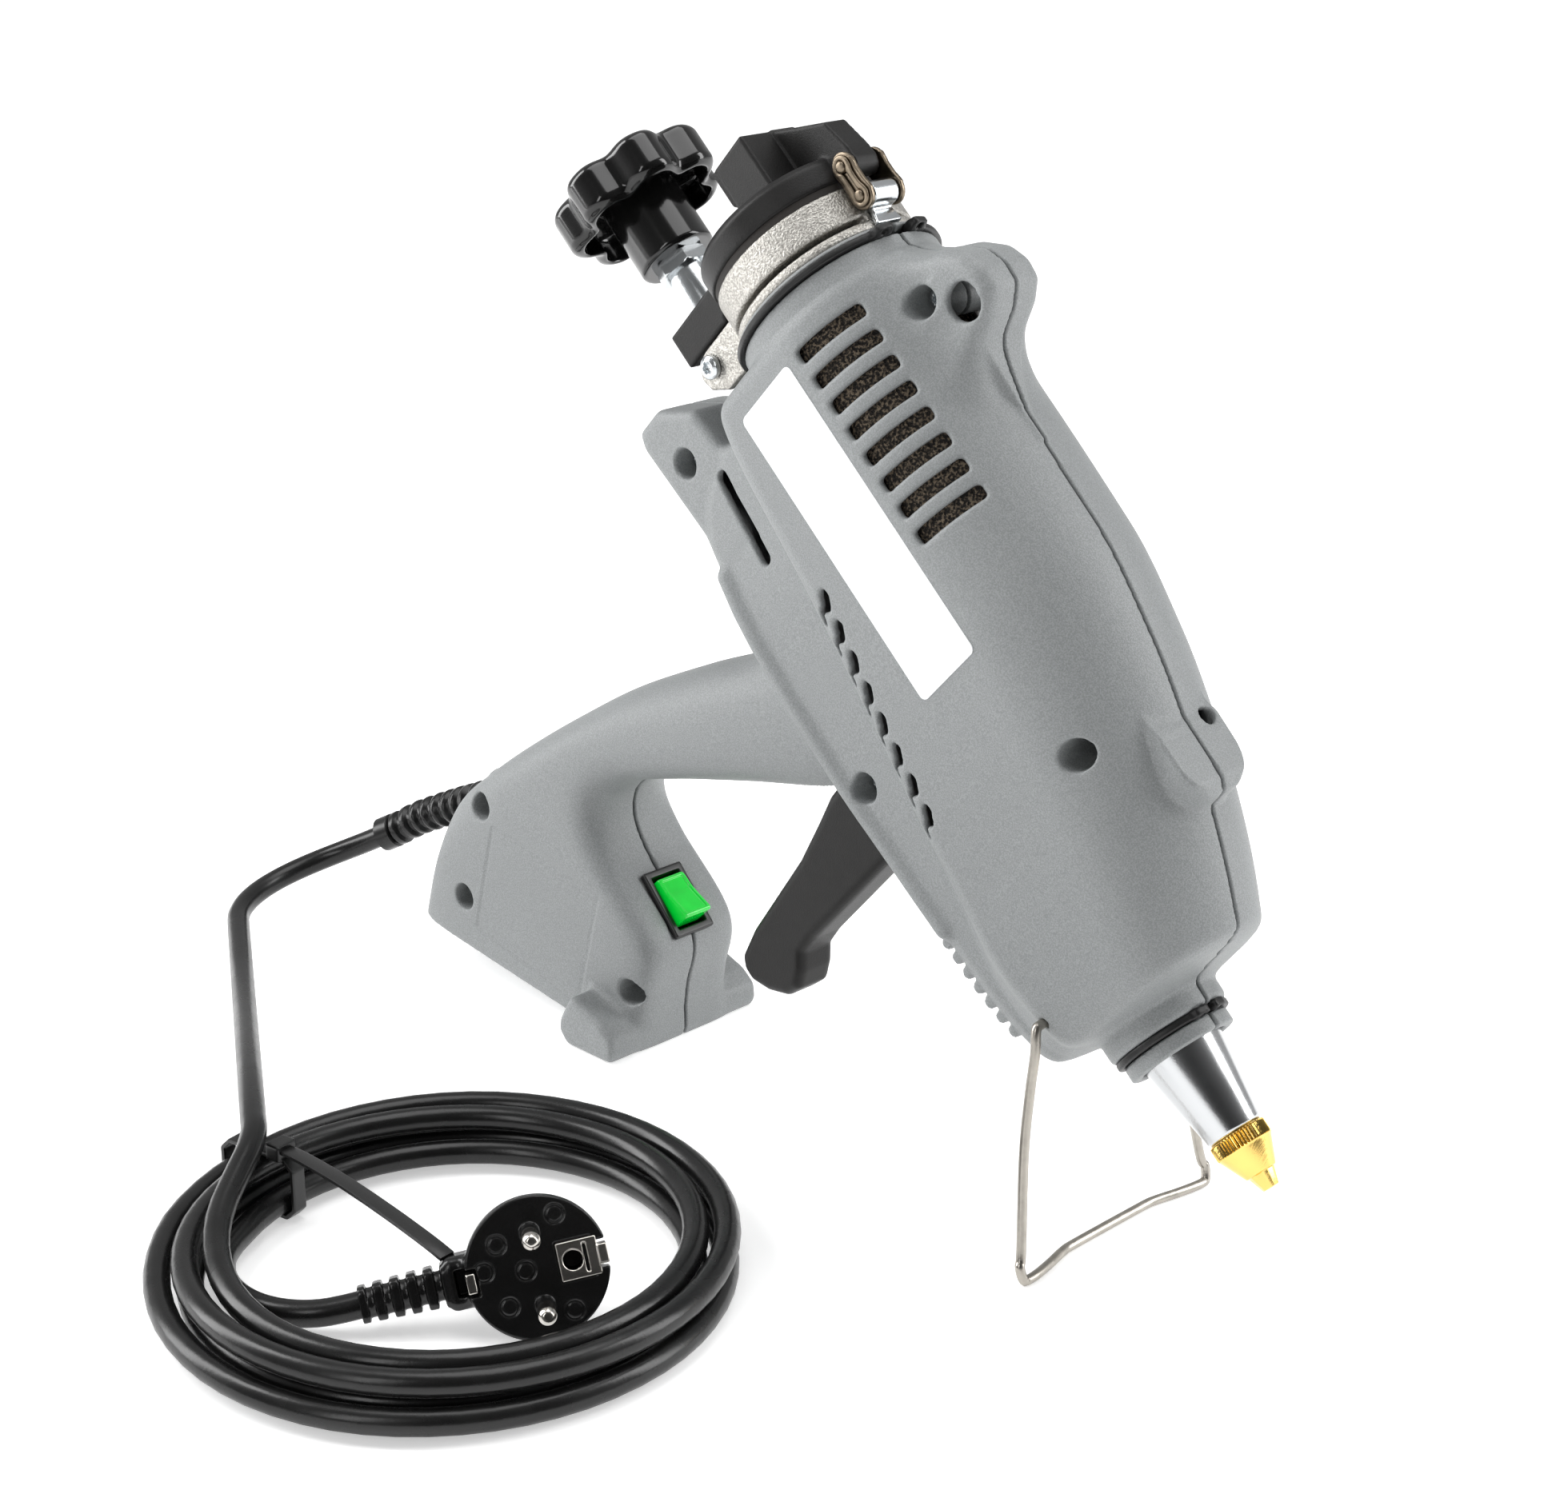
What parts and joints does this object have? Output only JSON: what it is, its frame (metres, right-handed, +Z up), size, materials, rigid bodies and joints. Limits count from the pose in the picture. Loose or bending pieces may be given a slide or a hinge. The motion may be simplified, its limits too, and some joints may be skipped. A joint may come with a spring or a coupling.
{
  "type": "hot wax dispensing gun",
  "caption": "Hand-held electric wax dispenser with a heated tank, clamped hinged lid, trigger valve, brass nozzle, folding wire stand and mains lead.",
  "frame": {"origin": "centre of the footprint of the standing gun, without its lead, on the ground", "axes": "+X towards the nozzle, +Y to the gun's left, +Z up, in the standing pose"},
  "size_m": [0.3898, 0.2638, 0.2881],
  "materials": {
    "housing": "fine grained moulded grey",
    "steel": "plain",
    "cast": "sand cast, sparkling",
    "felt": "speckled brown felt",
    "black_steel": "blackened",
    "black_plastic": "fine grained",
    "seal": "matte",
    "zinc": "bright zinc",
    "bronze_steel": "dark",
    "gloss_black": "polished",
    "polished_aluminium": "polished",
    "brass": "turned",
    "stainless": "drawn wire",
    "switch_black": "satin",
    "green": "lit, clear green",
    "board": "lacquered",
    "cord": "smooth sheath",
    "plug_black": "satin",
    "nickel": "nickel plated"
  },
  "bodies": {
    "gun": {"housing_left": "housing", "housing_right": "housing", "housing_screws": "steel", "melt_tank": "cast", "tank_insulation": "felt", "neck_snap_ring": "black_steel", "nose_snap_ring": "black_steel", "lid_hinge_bracket": "zinc", "link_plates": "bronze_steel", "link_pins": "bronze_steel", "link_spring_clip": "bronze_steel", "nozzle_pipe": "polished_aluminium", "nozzle": "brass", "plunger_spring": "steel", "trigger_spring": "steel", "heater_cartridges": "steel", "thermostat": "black_plastic", "switch_body": "switch_black", "control_board": "board", "cord_gland": "cord", "mains_lead": "cord", "lead_coil": "cord", "lead_tail": "cord", "cable_tie": "switch_black", "plug_body": "plug_black", "plug_pins": "nickel", "plug_earth_clips": "nickel"},
    "lid": {"lid": "black_plastic", "lid_seal": "seal"},
    "clamp": {"trunnion": "steel", "trunnion_screws": "zinc"},
    "knob": {"clamp_stud": "zinc", "clamp_sleeve": "zinc", "star_knob": "gloss_black"},
    "trigger": {"trigger": "black_plastic"},
    "plunger": {"valve_plunger": "steel"},
    "stand": {"wire_stand": "stainless"},
    "rocker": {"rocker": "green"}
  },
  "joints": [
    {"name": "clamp_swing", "type": "hinge", "parent": "gun", "child": "clamp", "pos_m": [-0.03034, 0, 0.21837], "axis": [0, -1, 0], "range_deg": [0, 60]},
    {"name": "knob_turn", "type": "hinge", "parent": "clamp", "child": "knob", "pos_m": [-0.03034, 0, 0.21837], "axis": [-0.7314, 0, 0.682], "continuous": true},
    {"name": "lid_open", "type": "hinge", "parent": "gun", "child": "lid", "pos_m": [0.01329, 0, 0.27777], "axis": [0, 1, 0], "range_deg": [0, 33]},
    {"name": "trigger_pull", "type": "hinge", "parent": "gun", "child": "trigger", "pos_m": [0.03433, 0, 0.11294], "axis": [0, 1, 0], "range_deg": [0, 16], "stiffness_Nm_per_rad": 1, "springref_deg": -11.46},
    {"name": "plunger_slide", "type": "slide", "parent": "gun", "child": "plunger", "axis": [0.7314, 0, -0.682], "range_m": [0, 0.0076]},
    {"name": "stand_fold", "type": "hinge", "parent": "gun", "child": "stand", "pos_m": [0.10626, 0, 0.06911], "axis": [0, 1, 0], "range_deg": [0, 105]},
    {"name": "rocker_tilt", "type": "hinge", "parent": "gun", "child": "rocker", "pos_m": [-0.06161, 0, 0.04421], "axis": [0, 1, 0], "range_deg": [0, 14]}
  ],
  "couplings": [
    {"joint": "lid_open", "follows": "clamp_swing", "ratio": 0.55},
    {"joint": "plunger_slide", "follows": "trigger_pull", "m_per_rad": 0.0265}
  ]
}
